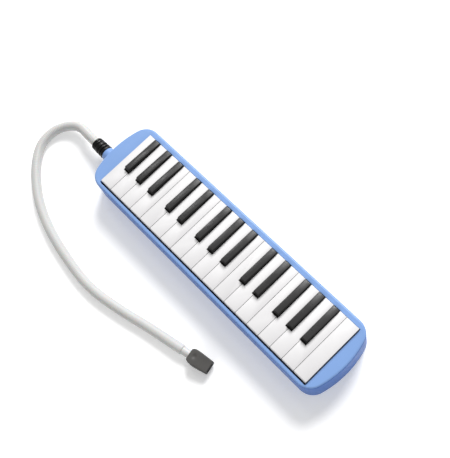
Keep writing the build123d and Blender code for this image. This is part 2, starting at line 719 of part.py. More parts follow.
# ---------------------------------------------------------------- drain valve
def drain_button():
    """The button under the case, with the stem that carries the valve."""
    head = post(DRAIN_X, DRAIN_Y, DRAIN_HEAD_BOTTOM, DRAIN_HEAD_TOP, DRAIN_HEAD_RADIUS)
    stem = post(DRAIN_X, DRAIN_Y, DRAIN_HEAD_TOP, CLIP_TOP + 0.8, DRAIN_STEM_RADIUS)
    button = head + stem
    groove = post(DRAIN_X, DRAIN_Y, SEAL_TOP, CLIP_TOP, 5.0)
    groove -= post(DRAIN_X, DRAIN_Y, SEAL_TOP, CLIP_TOP, 1.1)
    rim = button.edges().filter_by(GeomType.CIRCLE).group_by(Axis.Z)[0]
    return chamfer(rim, 0.5) - groove


def drain_seal():
    """The soft washer that closes the drain hole in the chamber floor."""
    washer = post(DRAIN_X, DRAIN_Y, SEAL_BOTTOM, SEAL_TOP - 0.02, 4.6)
    return washer - post(DRAIN_X, DRAIN_Y, SEAL_BOTTOM, SEAL_TOP, DRAIN_STEM_RADIUS + 0.02)


def drain_clip():
    """The ring in the stem's groove that holds the seal."""
    ring = post(DRAIN_X, DRAIN_Y, SEAL_TOP + 0.02, CLIP_TOP - 0.02, 3.2)
    ring -= post(DRAIN_X, DRAIN_Y, SEAL_TOP, CLIP_TOP, 1.13)
    return ring - block(DRAIN_X, DRAIN_X + 4, DRAIN_Y - 0.6, DRAIN_Y + 0.6, SEAL_TOP, CLIP_TOP)


def drain_spring():
    """The coil spring that pushes the button down and holds the valve shut."""
    low = DRAIN_HEAD_TOP + DRAIN_WIRE_RADIUS + 0.05
    high = COVER_BOTTOM - DRAIN_WIRE_RADIUS - 0.05
    pitch = (high - low) / DRAIN_TURNS
    helix = Helix(pitch, high - low, DRAIN_SPRING_RADIUS)
    wire = Plane(origin=helix @ 0, z_dir=helix % 0) * Circle(DRAIN_WIRE_RADIUS)
    return Pos(DRAIN_X, DRAIN_Y, low) * sweep(wire, path=helix, is_frenet=True)


# ---------------------------------------------------------------- hose
def hose_radii():
    """The bend at each point of the route: as large as its two runs allow."""
    points = [Vector(*point) for point in HOSE_ROUTE]
    radii = []
    for before, here, after in zip(points, points[1:], points[2:]):
        first, second = here - before, after - here
        half_turn = math.radians(first.get_angle(second)) / 2
        radii.append(RUN_SHARE * min(first.length, second.length) / math.tan(half_turn))
    return radii


def hose():
    """The flexible tube, with the plain neck that enters the mouthpiece."""
    radii = hose_radii()
    end = Vector(*HOSE_ROUTE[-1])
    heading = (end - Vector(*HOSE_ROUTE[-2])).normalized()
    neck_start = end - heading * CUFF_LENGTH
    route = HOSE_ROUTE[:-1] + [tuple(neck_start)]
    path = FilletPolyline(*route, radius=radii)
    section = Plane(origin=path @ 0, z_dir=path % 0)
    outside = sweep(section * Circle(HOSE_RADIUS), path=path)
    inside = sweep(section * Circle(HOSE_BORE), path=path)
    neck_length = CUFF_LENGTH + MOUTHPIECE_SOCKET - 0.3
    neck_plane = Plane(origin=neck_start, z_dir=heading)
    neck = neck_plane * Pos(0, 0, neck_length / 2) * Cylinder(CUFF_RADIUS, neck_length)
    neck_bore = neck_plane * Pos(0, 0, neck_length / 2) * Cylinder(CUFF_BORE, neck_length + 4)
    area = math.pi * (HOSE_RADIUS**2 - HOSE_BORE**2)
    tube = outside - inside
    print("hose radii", [round(radius, 1) for radius in radii])
    print("hose centre line", round(path.length + CUFF_LENGTH, 1))
    print("hose volume", round(tube.volume), "section x length", round(area * path.length))
    return tube + neck - neck_bore


def hose_connector():
    """The ribbed plug on the hose's end: its spigot pushes into the case's inlet."""
    base = INLET_MOUTH - CONNECTOR_GAP
    outer = base - CONNECTOR_LENGTH
    body = bar(outer, base, INLET_Y, INLET_Z, CONNECTOR_RADIUS)
    for start, length, radius in CONNECTOR_RINGS:
        ring = bar(outer + start, outer + start + length, INLET_Y, INLET_Z, radius)
        body += fillet(ring.edges().filter_by(GeomType.CIRCLE), 0.5)
    body += bar(base - 1, base + SPIGOT_LENGTH, INLET_Y, INLET_Z, SPIGOT_RADIUS)
    return body - bar(outer - 1, base + SPIGOT_LENGTH + 1, INLET_Y, INLET_Z, HOSE_BORE)


# ---------------------------------------------------------------- mouthpiece
def mouthpiece():
    """A flattened wedge with a waist at the hose and a wide, flat lip end."""
    length = MOUTHPIECE_LENGTH
    plan = make_face(
        Polyline(
            (0, -7.0),
            (4.5, -9.2),
            (10.0, -9.4),
            (length, -8.3),
            (length, 8.3),
            (10.0, 9.4),
            (4.5, 9.2),
            (0, 7.0),
            close=True,
        )
    )
    body = Pos(0, 0, -8) * extrude(plan, amount=16)
    side = [(0, -6.9), (3.0, -8.0), (11.0, -8.0), (length, -4.4)]
    side += [(length, 4.4), (11.0, 8.0), (3.0, 8.0), (0, 6.9)]
    body = body & prism_y(-10, 10, side)
    body = fillet(body.edges().filter_by(Axis.Y), 0.8)
    body -= bar(-1, MOUTHPIECE_SOCKET, 0, 0, CUFF_RADIUS + 0.05)
    body -= block(MOUTHPIECE_SOCKET - 1, length + 1, -5.4, 5.4, -2.0, 2.0)
    dimple = 5.0
    body -= Pos(7.0, 1.5, 8.0 + dimple - 0.9) * Sphere(dimple)
    start, end = HOSE_ROUTE[-2], HOSE_ROUTE[-1]
    heading = math.degrees(math.atan2(end[1] - start[1], end[0] - start[0]))
    return Pos(*end) * Rot(0, 0, heading) * body


# ---------------------------------------------------------------- all nodes
NODES = {
    "top_case": top_case,
    "bottom_cover": bottom_cover,
    "case_screws": case_screws,
    "hand_strap": hand_strap,
    "strap_screws": strap_screws,
    "wind_board": wind_board,
    "board_screws": board_screws,
    "pivot_rod": pivot_rod,
    "stop_felts": stop_felts,
    "spring_comb": spring_comb,
    "spring_screws": spring_screws,
    "reed_plate_low": reed_plate_low,
    "reed_plate_high": reed_plate_high,
    "reed_tongues": reed_tongues,
    "reed_rivets": reed_rivets,
    "reed_plate_screws": reed_plate_screws,
    "chamber_cover": chamber_cover,
    "chamber_gasket": chamber_gasket,
    "chamber_screws": chamber_screws,
    "air_inlet": air_inlet,
    "inlet_seal": inlet_seal,
    "drain_button": drain_button,
    "drain_seal": drain_seal,
    "drain_clip": drain_clip,
    "drain_spring": drain_spring,
    "hose_connector": hose_connector,
    "hose": hose,
    "mouthpiece": mouthpiece,
}

os.makedirs("parts", exist_ok=True)
for node, make in NODES.items():
    export_step(make(), f"parts/{node}.step")
for key in KEYS:
    shape = white_key(key) if "front" in key else black_key(key)
    export_step(shape, f"parts/{key['node']}.step")
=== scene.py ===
"""Looks of the melodica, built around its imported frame. Lengths are in metres."""

import json
import math

import bmesh
import bpy
from mathutils import Matrix, Vector


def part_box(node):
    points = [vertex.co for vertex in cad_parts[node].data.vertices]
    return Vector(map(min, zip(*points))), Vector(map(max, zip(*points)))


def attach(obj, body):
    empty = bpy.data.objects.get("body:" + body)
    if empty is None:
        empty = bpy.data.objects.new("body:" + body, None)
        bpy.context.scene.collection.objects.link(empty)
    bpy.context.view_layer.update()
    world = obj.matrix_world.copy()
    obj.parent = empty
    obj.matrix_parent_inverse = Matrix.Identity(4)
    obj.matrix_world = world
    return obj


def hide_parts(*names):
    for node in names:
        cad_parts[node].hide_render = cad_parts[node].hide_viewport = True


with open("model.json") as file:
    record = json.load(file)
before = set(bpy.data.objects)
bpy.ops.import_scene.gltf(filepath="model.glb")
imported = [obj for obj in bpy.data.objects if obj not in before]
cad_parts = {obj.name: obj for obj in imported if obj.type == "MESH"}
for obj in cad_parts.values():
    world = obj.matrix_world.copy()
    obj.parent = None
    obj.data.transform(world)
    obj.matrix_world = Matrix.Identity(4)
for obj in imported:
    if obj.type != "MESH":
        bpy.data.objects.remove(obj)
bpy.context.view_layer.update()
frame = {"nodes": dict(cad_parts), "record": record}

MM = 0.001
CASE_BODY = "casing"
HOSE_BODY = "hose_assembly"

# ---------------------------------------------------------------- sizes from the frame
CASE_LOW, CASE_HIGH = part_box("top_case")
FIELD_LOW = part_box("white_key_01")[0]
FIELD_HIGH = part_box("white_key_19")[1]
CONNECTOR_LOW, CONNECTOR_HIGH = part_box("hose_connector")
INLET_LOW, INLET_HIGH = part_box("air_inlet")

# ---------------------------------------------------------------- sizes of the looks
# The camera as fitted to the photograph, its angles in degrees.
CAMERA_PLACE = (0.3713, -0.1154, 0.9682)
CAMERA_AZIMUTH = 70.37
CAMERA_ELEVATION = 66.52
CAMERA_ROLL = -25.43
CAMERA_LENS = 66.65
CAMERA_SENSOR = 36

# The noise in every material: its slow mottle, its smudges and its fine grain.
MOTTLE_SCALE = 22
MOTTLE_DETAIL = 4
SMUDGE_SCALE = 75
SMUDGE_DETAIL = 5
GRAIN_DETAIL = 3
NOISE_LOW = 0.3
NOISE_HIGH = 0.7

END_RADIUS = 125 * MM
CORNER_RADIUS = 21 * MM
EDGE_RADIUS = 2.5 * MM
WALL = 2.2 * MM
TOP_THICKNESS = 2.4 * MM
# The height where the two shells of the case meet.
SEAM_Z = 8.0 * MM
SEAM_CHAMFER = 0.35 * MM
# Upright outward faces past either of these are the case's outer wall, which is painted a deeper blue as
# shade.
WALL_Y = 48.5 * MM
WALL_X = 165 * MM
OPENING_SIDE_GAP = 0.9 * MM
OPENING_FRONT_GAP = 2.0 * MM
OPENING_BACK_GAP = 0.8 * MM
OPENING_CORNER = 0.5 * MM
OPENING_EDGE = 0.5 * MM
RIM_BOTTOM = 34.2 * MM
RIM_THICKNESS = 1.6 * MM
# The points in each run of an outline, and the steps round the top edge and the opening's edge.
STRAIGHT_POINTS = 48
CORNER_POINTS = 12
END_POINTS = 28
EDGE_STEPS = 8
OPENING_STEPS = 4

# Creases over this angle stay sharp, in degrees.
SHARP_ANGLE = 35
# For copies of CAD nodes: vertices this close are one, faces this flat are one, and edges over
# the last angle are rounded. The angles are in degrees.
MERGE_DISTANCE = 0.002 * MM
FLAT_ANGLE = 1
ROUNDED_ANGLE = 20
WHITE_CORNER = 0.9 * MM
WHITE_EDGE = 0.25 * MM
BLACK_EDGE = 0.45 * MM
STRAP_EDGE = 0.3 * MM
DRAIN_EDGE = 0.12 * MM
# How near to a key's front or top an edge has to be to be rounded.
WHITE_FRONT_BAND = 0.2 * MM
WHITE_TOP_BAND = 1.2 * MM
BLACK_TOP_BAND = 0.5 * MM
# A key's faces over SKIRT_Z can be seen. Those under PAD_TOP and behind PAD_FRONT are its pad.
SKIRT_Z = 34 * MM
PAD_TOP = 28.5 * MM
PAD_FRONT = 20 * MM

# The gap between pieces that fit round one another.
FIT_GAP = 0.1 * MM
# The connector's rings in mm: start from its outer end, end and radius.
CONNECTOR_RINGS = [
    (0.1, 2.6, 8.7),
    (3.4, 6.2, 8.9),
    (7.0, 12.2, 9.2),
    (13.3, 16.7, 9.3),
    (17.7, 21.7, 9.4),
]
# The radius between the rings in mm, and how square the rings are: 0 is square and 1 is round.
CONNECTOR_CORE = 7.9
RING_ROUNDNESS = 0.4
RING_STEPS = 10
CONNECTOR_SOCKET_DEPTH = 2 * MM
CONNECTOR_BORE = 5.0 * MM
SPIGOT_RADIUS = 6.5 * MM
SPIGOT_EDGE = 0.5 * MM
INLET_SOCKET_RADIUS = 6.58 * MM
INLET_SOCKET_DEPTH = 14.6 * MM
INLET_BORE = 5.5 * MM
INLET_NECK = 7.6 * MM
INLET_EDGE = 0.9 * MM
INLET_FLARE = 1.6 * MM
INLET_BEVEL = 0.4 * MM
INLET_IN_WALL = 0.4 * MM
INLET_FLARE_DEPTH = 1.5 * MM

HOSE_RADIUS = 6.6 * MM
RIB_PITCH = 2.4 * MM
RIB_DEPTH = 0.35 * MM
RINGS_PER_RIB = 6
RIB_FADE = 1.5 * MM
START_CUFF = 3.0 * MM
START_CUFF_RADIUS = 6.2 * MM
END_NECK = 10.5 * MM
END_NECK_RADIUS = 5.3 * MM
HOSE_SEGMENTS = 40
ROUTE_RESOLUTION = 40
# The control points of the hose's centre line, from the connector to the mouthpiece.
HOSE_ROUTE = [
    (-0.2297, -0.0105, 0.0190),
    (-0.2476, -0.0105, 0.0190),
    (-0.2690, -0.0086, 0.0134),
    (-0.2870, -0.0188, 0.0086),
    (-0.2975, -0.0372, 0.0069),
    (-0.2967, -0.0592, 0.0067),
    (-0.2847, -0.0784, 0.0067),
    (-0.2621, -0.0984, 0.0067),
    (-0.2296, -0.1187, 0.0067),
    (-0.1860, -0.1335, 0.0067),
    (-0.1380, -0.1415, 0.0067),
    (-0.0920, -0.1455, 0.0067),
    (-0.0460, -0.1380, 0.0067),
    (0.0020, -0.1255, 0.0067),
    (0.0430, -0.1170, 0.0082),
    (0.0640, -0.1125, 0.0082),
]

# The mouthpiece's length in mm, and its half width and half height in mm at places along it.
MOUTHPIECE_LENGTH = 29
MOUTHPIECE_WIDTHS = [(0, 7.0), (2, 8.2), (4.5, 9.2), (7.5, 9.4), (11, 9.35), (20, 8.85), (29, 8.3)]
MOUTHPIECE_HEIGHTS = [(0, 6.9), (1.5, 7.5), (3.5, 7.9), (8, 8.0), (11, 7.8), (20, 6.2), (29, 4.4)]
MOUTHPIECE_CORNER = 1.1 * MM
# How far the two ends turn in, and over what length in mm.
END_TURN_IN = 0.6 * MM
END_TURN_LENGTH = 0.8
NECK_SOCKET_DEPTH = 3 * MM
MOUTHPIECE_BEVEL = 0.3 * MM
LIP_SLOT_HALF = (5.4 * MM, 2.0 * MM)
LIP_SLOT_CORNER = 0.5 * MM
LIP_SLOT_MOUTH_CORNER = 0.6 * MM
LIP_SLOT_DEPTH = 12 * MM
DIMPLE_AT = (7.5 * MM, 0.8 * MM)
DIMPLE_RADIUS = 3.6 * MM
DIMPLE_DEPTH = 1.4 * MM
DIMPLE_OVER_Z = 6 * MM

# The floor and the lights: an even sky, a wide key light from the back left, a weak fill from
# the front right, and a small light whose gloss falls on the left end. Angles are in degrees.
FLOOR_HALF = 6.0
FLOOR_COLOUR = (0.93, 0.93, 0.93, 1)
FLOOR_GLOW = 0.26
SKY_STRENGTH = 0.38
KEY_STRENGTH = 3.3
KEY_ANGLE = 25
KEY_DIRECTION = (-0.50, 0.95, 0.90)
FILL_PLACE = (0.9, -1.2, 1.6)
FILL_SIZE = 1.2
FILL_POWER = 4
STREAK_PLACE = (-0.83, 0.30, 1.2)
STREAK_TARGET = (-0.15, 0, 0)
STREAK_SIZE = 0.26
STREAK_POWER = 1.3


# ---------------------------------------------------------------- camera
def make_camera():
    """The photograph's view: high over the right end, rolled so that the keys run down to the right."""
    azimuth, elevation = math.radians(CAMERA_AZIMUTH), math.radians(CAMERA_ELEVATION)
    roll = math.radians(CAMERA_ROLL)
    back = Vector(
        (
            math.sin(azimuth) * math.cos(elevation),
            -math.cos(azimuth) * math.cos(elevation),
            math.sin(elevation),
        )
    )
    level = Vector((0, 0, 1)).cross(back).normalized()
    upward = back.cross(level)
    right = math.cos(roll) * level + math.sin(roll) * upward
    top = math.cos(roll) * upward - math.sin(roll) * level
    camera = bpy.data.objects.new("camera", bpy.data.cameras.new("camera"))
    turn = Matrix((right, top, back)).transposed()
    camera.matrix_world = Matrix.Translation(CAMERA_PLACE) @ turn.to_4x4()
    camera.data.lens = CAMERA_LENS
    camera.data.sensor_width = CAMERA_SENSOR
    bpy.context.scene.collection.objects.link(camera)
    bpy.context.scene.camera = camera


# ---------------------------------------------------------------- materials
def grained(name, colour, roughness, mottle, rough_spread, grain, grain_size, shader):
    """A moulded surface: slow colour variation, uneven gloss, and a fine grain in its normals."""
    material = bpy.data.materials.new(name)
    material.use_nodes = True
    nodes, links = material.node_tree.nodes, material.node_tree.links
    principled = nodes["Principled BSDF"]
    place = nodes.new("ShaderNodeTexCoord")
    slow = nodes.new("ShaderNodeTexNoise")
    slow.inputs["Scale"].default_value = MOTTLE_SCALE
    slow.inputs["Detail"].default_value = MOTTLE_DETAIL
    links.new(place.outputs["Object"], slow.inputs["Vector"])
    ramp = nodes.new("ShaderNodeValToRGB")
    ramp.color_ramp.elements[0].position = NOISE_LOW
    ramp.color_ramp.elements[1].position = NOISE_HIGH
    ramp.color_ramp.elements[0].color = [c * (1 - mottle) for c in colour] + [1]
    ramp.color_ramp.elements[1].color = [min(1, c * (1 + mottle)) for c in colour] + [1]
    links.new(slow.outputs["Fac"], ramp.inputs["Fac"])
    links.new(ramp.outputs["Color"], principled.inputs["Base Color"])
    smudge = nodes.new("ShaderNodeTexNoise")
    smudge.inputs["Scale"].default_value = SMUDGE_SCALE
    smudge.inputs["Detail"].default_value = SMUDGE_DETAIL
    links.new(place.outputs["Object"], smudge.inputs["Vector"])
    spread = nodes.new("ShaderNodeMapRange")
    spread.inputs["From Min"].default_value = NOISE_LOW
    spread.inputs["From Max"].default_value = NOISE_HIGH
    spread.inputs["To Min"].default_value = roughness - rough_spread
    spread.inputs["To Max"].default_value = roughness + rough_spread
    links.new(smudge.outputs["Fac"], spread.inputs["Value"])
    links.new(spread.outputs["Result"], principled.inputs["Roughness"])
    fine = nodes.new("ShaderNodeTexNoise")
    fine.inputs["Scale"].default_value = 1 / grain_size
    fine.inputs["Detail"].default_value = GRAIN_DETAIL
    links.new(place.outputs["Object"], fine.inputs["Vector"])
    bump = nodes.new("ShaderNodeBump")
    bump.inputs["Strength"].default_value = 1.0
    bump.inputs["Distance"].default_value = grain
    links.new(fine.outputs["Fac"], bump.inputs["Height"])
    links.new(bump.outputs["Normal"], principled.inputs["Normal"])
    for socket, value in shader.items():
        principled.inputs[socket].default_value = value
    return material


def make_materials():
    """One material for each slot of the record, and more for the painted shade on walls and sides, and
    for pads.
    """
    metal = {"Metallic": 1.0}
    dull = {"Specular IOR Level": 0.25}
    duller = {"Specular IOR Level": 0.12}
    soft = {"Subsurface Weight": 0.15, "Subsurface Scale": 2 * MM}
    # Each look has its colour, roughness, colour mottle, spread of the roughness, depth of the
    # grain in mm, size of the grain in mm, and its own values for the shader.
    looks = {
        "case_blue": ((0.222, 0.372, 0.70), 0.32, 0.02, 0.04, 0.002, 0.7, dull),
        # The outer wall's deeper blue is painted shade on the same plastic as the top.
        "case_wall_painted_shade": ((0.055, 0.160, 0.50), 0.36, 0.03, 0.04, 0.002, 0.7, duller),
        "key_white": ((0.76, 0.75, 0.755), 0.34, 0.015, 0.05, 0.003, 0.9, {}),
        # The white keys' sides are painted dark grey as shade in the gaps between keys.
        "key_side_painted_shade": ((0.30, 0.295, 0.30), 0.50, 0.05, 0.05, 0.004, 0.9, {}),
        "key_black": ((0.030, 0.0292, 0.0295), 0.27, 0.12, 0.05, 0.005, 0.35, {}),
        # The black keys' sides and fronts are painted darker than their tops, as shade.
        "black_side_painted_shade": ((0.006, 0.0055, 0.0055), 0.33, 0.12, 0.05, 0.005, 0.35, duller),
        "inner_plastic": ((0.42, 0.42, 0.41), 0.50, 0.04, 0.08, 0.010, 0.5, {}),
        "steel": ((0.56, 0.56, 0.57), 0.28, 0.08, 0.10, 0.004, 0.2, metal),
        "brass": ((0.70, 0.50, 0.21), 0.30, 0.12, 0.10, 0.004, 0.3, metal),
        "seal_rubber": ((0.03, 0.03, 0.03), 0.65, 0.15, 0.08, 0.020, 0.5, {}),
        "felt": ((0.30, 0.03, 0.03), 0.95, 0.20, 0.04, 0.120, 0.35, {}),
        "strap_rubber": ((0.022, 0.022, 0.025), 0.55, 0.15, 0.10, 0.030, 0.5, {}),
        "drain_plastic": ((0.78, 0.78, 0.77), 0.30, 0.02, 0.05, 0.004, 0.5, {}),
        "connector_black": ((0.004, 0.004, 0.004), 0.34, 0.15, 0.08, 0.010, 0.5, dull),
        "hose_plastic": ((0.59, 0.59, 0.575), 0.42, 0.02, 0.06, 0.006, 0.6, soft),
        "mouthpiece_grey": ((0.080, 0.077, 0.073), 0.50, 0.15, 0.08, 0.030, 0.5, dull),
        # The mouthpiece's sides, ends and underside are painted darker than its top, as shade.
        "mouthpiece_side_painted_shade": ((0.012, 0.0115, 0.011), 0.45, 0.15, 0.08, 0.030, 0.5, duller),
        "pad": ((0.55, 0.42, 0.30), 0.85, 0.15, 0.05, 0.050, 0.4, {}),
    }
    materials = {}
    for name, (colour, roughness, mottle, spread, grain, size, shader) in looks.items():
        materials[name] = grained(
            name, colour, roughness, mottle, spread, grain * MM, size * MM, shader
        )
    return materials


# ---------------------------------------------------------------- mesh helpers
def new_piece(name, points, faces, body, slot, *replaced):
    """A smooth-shaded piece with its material, riding on its body in place of CAD nodes."""
    mesh = bpy.data.meshes.new(name)
    mesh.from_pydata([tuple(p) for p in points], [], faces)
    mesh.validate()
    return finish_piece(name, mesh, body, slot, *replaced)


def finish_piece(name, mesh, body, slot, *replaced):
    """Shades a mesh, gives it its material and joins it to the frame."""
    mesh.shade_smooth()
    mesh.set_sharp_from_angle(angle=math.radians(SHARP_ANGLE))
    piece = bpy.data.objects.new(name, mesh)
    mesh.materials.append(MATERIALS[slot])
    bpy.context.scene.collection.objects.link(piece)
    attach(piece, body)
    if replaced:
        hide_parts(*replaced)
    return piece


def repaint(piece, slot, test):
    """Gives the faces that pass a test, on their middle and normal, a material of their own."""
    piece.data.materials.append(MATERIALS[slot])
    last = len(piece.data.materials) - 1
    for polygon in piece.data.polygons:
        if test(polygon.center, polygon.normal):
            polygon.material_index = last


def loft(rings, closed=False):
    """Points and faces through rings of equal length; closed joins the last ring to the first."""
    count = len(rings[0])
    points = [p for ring in rings for p in ring]
    faces = []
    for row in range(len(rings) if closed else len(rings) - 1):
        here, there = row * count, (row + 1) % len(rings) * count
        for i in range(count):
            j = (i + 1) % count
            faces.append((here + i, here + j, there + j, there + i))
    return points, faces


def capped(rings):
    """A loft whose two ends are closed."""
    points, faces = loft(rings)
    count = len(rings[0])
    faces.append(tuple(reversed(range(count))))
    faces.append(tuple(range(len(points) - count, len(points))))
    return points, faces


def turned(profile, centre, segments=64):
    """A closed ring shape turned about an axis along X; the profile has (x, radius) points."""
    y, z = centre
    angles = [2 * math.pi * i / segments for i in range(segments)]
    rings = []
    for x, radius in profile:
        rings.append([Vector((x, y - radius * math.cos(a), z + radius * math.sin(a))) for a in angles])
    return loft(rings, closed=True)


def arc_steps(start, end, count):
    """Angles from start to end degrees, in radians, both included."""
    return [math.radians(start + (end - start) * i / count) for i in range(count + 1)]


# ---------------------------------------------------------------- case
def case_outline():
    """The case's outline as (point, outward normal) pairs, in eight runs that the opening matches."""
    left, right, half = CASE_LOW.x, CASE_HIGH.x, CASE_HIGH.y
    corner_y = half - CORNER_RADIUS
    reach = math.sqrt((END_RADIUS - CORNER_RADIUS) ** 2 - corner_y**2)
    corner_x = right - END_RADIUS + reach
    corner_left = left + END_RADIUS - reach
    swing = math.degrees(math.atan2(corner_y, reach))
    pairs = []

    def straight(x0, x1, y, count):
        for i in range(count):
            x = x0 + (x1 - x0) * i / count
            pairs.append((Vector((x, y)), Vector((0, math.copysign(1, y)))))

    def bend(x, y, radius, start, end, count):
        for angle in arc_steps(start, end, count)[:-1]:
            normal = Vector((math.cos(angle), math.sin(angle)))
            pairs.append((Vector((x, y)) + radius * normal, normal))

    straight(corner_left, corner_x, -half, STRAIGHT_POINTS)
    bend(corner_x, -corner_y, CORNER_RADIUS, -90, -swing, CORNER_POINTS)
    bend(right - END_RADIUS, 0, END_RADIUS, -swing, swing, END_POINTS)
    bend(corner_x, corner_y, CORNER_RADIUS, swing, 90, CORNER_POINTS)
    straight(corner_x, corner_left, half, STRAIGHT_POINTS)
    bend(corner_left, corner_y, CORNER_RADIUS, 90, 180 - swing, CORNER_POINTS)
    bend(left + END_RADIUS, 0, END_RADIUS, 180 - swing, 180 + swing, END_POINTS)
    bend(corner_left, -corner_y, CORNER_RADIUS, 180 + swing, 270, CORNER_POINTS)
    return pairs


def opening_outline():
    """The key opening's outline, with as many points in each run as the case's."""
    x0 = FIELD_LOW.x - OPENING_SIDE_GAP
    x1 = FIELD_HIGH.x + OPENING_SIDE_GAP
    y0 = FIELD_LOW.y - OPENING_FRONT_GAP
    y1 = FIELD_HIGH.y + OPENING_BACK_GAP
    r = OPENING_CORNER
    corners = [(x1 - r, y0 + r, -90), (x1 - r, y1 - r, 0), (x0 + r, y1 - r, 90), (x0 + r, y0 + r, 180)]
    pairs = []
    for index, (x, y, start) in enumerate(corners):
        before = corners[index - 1]
        outward = Vector((math.cos(math.radians(start)), math.sin(math.radians(start))))
        run_start = Vector((before[0], before[1])) + r * outward
        run_end = Vector((x, y)) + r * outward
        count = STRAIGHT_POINTS if index % 2 == 0 else END_POINTS
        for i in range(count):
            pairs.append((run_start.lerp(run_end, i / count), outward))
        for angle in arc_steps(start, start + 90, CORNER_POINTS)[:-1]:
            normal = Vector((math.cos(angle), math.sin(angle)))
            pairs.append((Vector((x, y)) + r * normal, normal))
    return pairs


def ring_at(outline, inset, z):
    """The outline moved in by inset, at a height."""
    return [Vector((*(point - inset * normal), z)) for point, normal in outline]


def on_shaded_case_wall(middle, normal):
    """Whether a face is on the case's upright outer wall, which is painted a deeper blue than the top as
    shade.
    """
    outward = normal.x * middle.x + normal.y * middle.y > 0
    return outward and abs(normal.z) < 0.5 and (abs(middle.y) > WALL_Y or abs(middle.x) > WALL_X)


def make_top_case():
    """The upper shell: wall, rounded top edge, key opening with its rim, and the hollow inside."""
    outside, opening = case_outline(), opening_outline()
    seam, top = SEAM_Z, CASE_HIGH.z
    ceiling = top - TOP_THICKNESS
    rings = [ring_at(outside, SEAM_CHAMFER, seam), ring_at(outside, 0, seam + SEAM_CHAMFER)]
    for angle in arc_steps(0, 90, EDGE_STEPS):
        inset = EDGE_RADIUS * (1 - math.cos(angle))
        rings.append(ring_at(outside, inset, top - EDGE_RADIUS * (1 - math.sin(angle))))
    for angle in arc_steps(90, 0, OPENING_STEPS):
        inset = -OPENING_EDGE * (1 - math.cos(angle))
        rings.append(ring_at(opening, inset, top - OPENING_EDGE * (1 - math.sin(angle))))
    rings.append(ring_at(opening, 0, RIM_BOTTOM))
    rings.append(ring_at(opening, -RIM_THICKNESS, RIM_BOTTOM))
    rings.append(ring_at(opening, -RIM_THICKNESS, ceiling))
    rings.append(ring_at(outside, WALL, ceiling))
    rings.append(ring_at(outside, WALL, seam))
    points, faces = loft(rings, closed=True)
    shell = new_piece("top_shell", points, faces, CASE_BODY, "case_blue", "top_case")
    # The outer wall is painted a deeper blue than the top, as shade.
    repaint(shell, "case_wall_painted_shade", on_shaded_case_wall)


# ---------------------------------------------------------------- pieces rounded from the CAD
def rounded_copy(node, body, slot, rules):
    """A copy of a CAD node with flat faces made whole and chosen edges rounded."""
    mesh = frame["nodes"][node].data.copy()
    mesh.name = node + "_shaped"
    mesh.materials.clear()
    work = bmesh.new()
    work.from_mesh(mesh)
    bmesh.ops.remove_doubles(work, verts=work.verts, dist=MERGE_DISTANCE)
    bmesh.ops.dissolve_limit(
        work,
        angle_limit=math.radians(FLAT_ANGLE),
        verts=work.verts,
        edges=work.edges,
        delimit={"NORMAL"},
    )
    rounded_from = math.radians(ROUNDED_ANGLE)
    for pick, width, segments in rules:
        sharp = [
            e
            for e in work.edges
            if len(e.link_faces) == 2 and e.calc_face_angle(0) > rounded_from and pick(e)
        ]
        bmesh.ops.bevel(
            work,
            geom=sharp,
            offset=width,
            segments=segments,
            profile=0.5,
            affect="EDGES",
            clamp_overlap=True,
        )
    work.to_mesh(mesh)
    work.free()
    if "custom_normal" in mesh.attributes:
        mesh.attributes.remove(mesh.attributes["custom_normal"])
    return finish_piece(node + "_shaped", mesh, body, slot, node)


def both(edge, test):
    """Whether both ends of an edge pass a test on their place."""
    return all(test(v.co) for v in edge.verts)


def upright(edge):
    """Whether an edge stands along Z."""
    a, b = (v.co for v in edge.verts)
    return abs(a.x - b.x) < 0.05 * MM and abs(a.y - b.y) < 0.05 * MM


def on_pad(middle, normal):
    """Whether a key's face belongs to its soft pad."""
    return middle.z < PAD_TOP and middle.y > PAD_FRONT


def make_white_keys():
    """White keys with rounded front corners, softened top edges, and upper sides painted dark grey as
    shade.
    """
    for node in sorted(n for n in frame["nodes"] if n.startswith("white_key")):
        low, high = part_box(node)
        front, top = low.y + WHITE_FRONT_BAND, high.z
        rules = [
            (lambda e: upright(e) and both(e, lambda p: p.y < front and p.z > SKIRT_Z), WHITE_CORNER, 3),
            (lambda e: both(e, lambda p: p.z > top - WHITE_TOP_BAND), WHITE_EDGE, 2),
        ]
        piece = rounded_copy(node, node, "key_white", rules)
        # The upper sides get a dark grey of painted shade, for the gaps between keys.
        repaint(piece, "key_side_painted_shade", lambda middle, normal: abs(normal.x) > 0.9 and middle.z > SKIRT_Z)
        repaint(piece, "pad", on_pad)


def make_black_keys():
    """Black keys with softly rounded tops and fronts, and sides painted darker than the tops as shade.
    """
    for node in sorted(n for n in frame["nodes"] if n.startswith("black_key")):
        rules = [(lambda e: both(e, lambda p: p.z > FIELD_HIGH.z - BLACK_TOP_BAND), BLACK_EDGE, 3)]
        piece = rounded_copy(node, node, "key_black", rules)
        # The sides and fronts get a darker copy of the black, as painted shade.
        repaint(piece, "black_side_painted_shade", lambda middle, normal: normal.z < 0.6 and middle.z > SKIRT_Z)
        repaint(piece, "pad", on_pad)


def make_underside():
    """The hand strap and drain button, with their edges rounded."""
    rounded_copy("hand_strap", CASE_BODY, "strap_rubber", [(lambda e: True, STRAP_EDGE, 2)])
    rounded_copy("drain_button", "drain_valve", "drain_plastic", [(lambda e: True, DRAIN_EDGE, 2)])


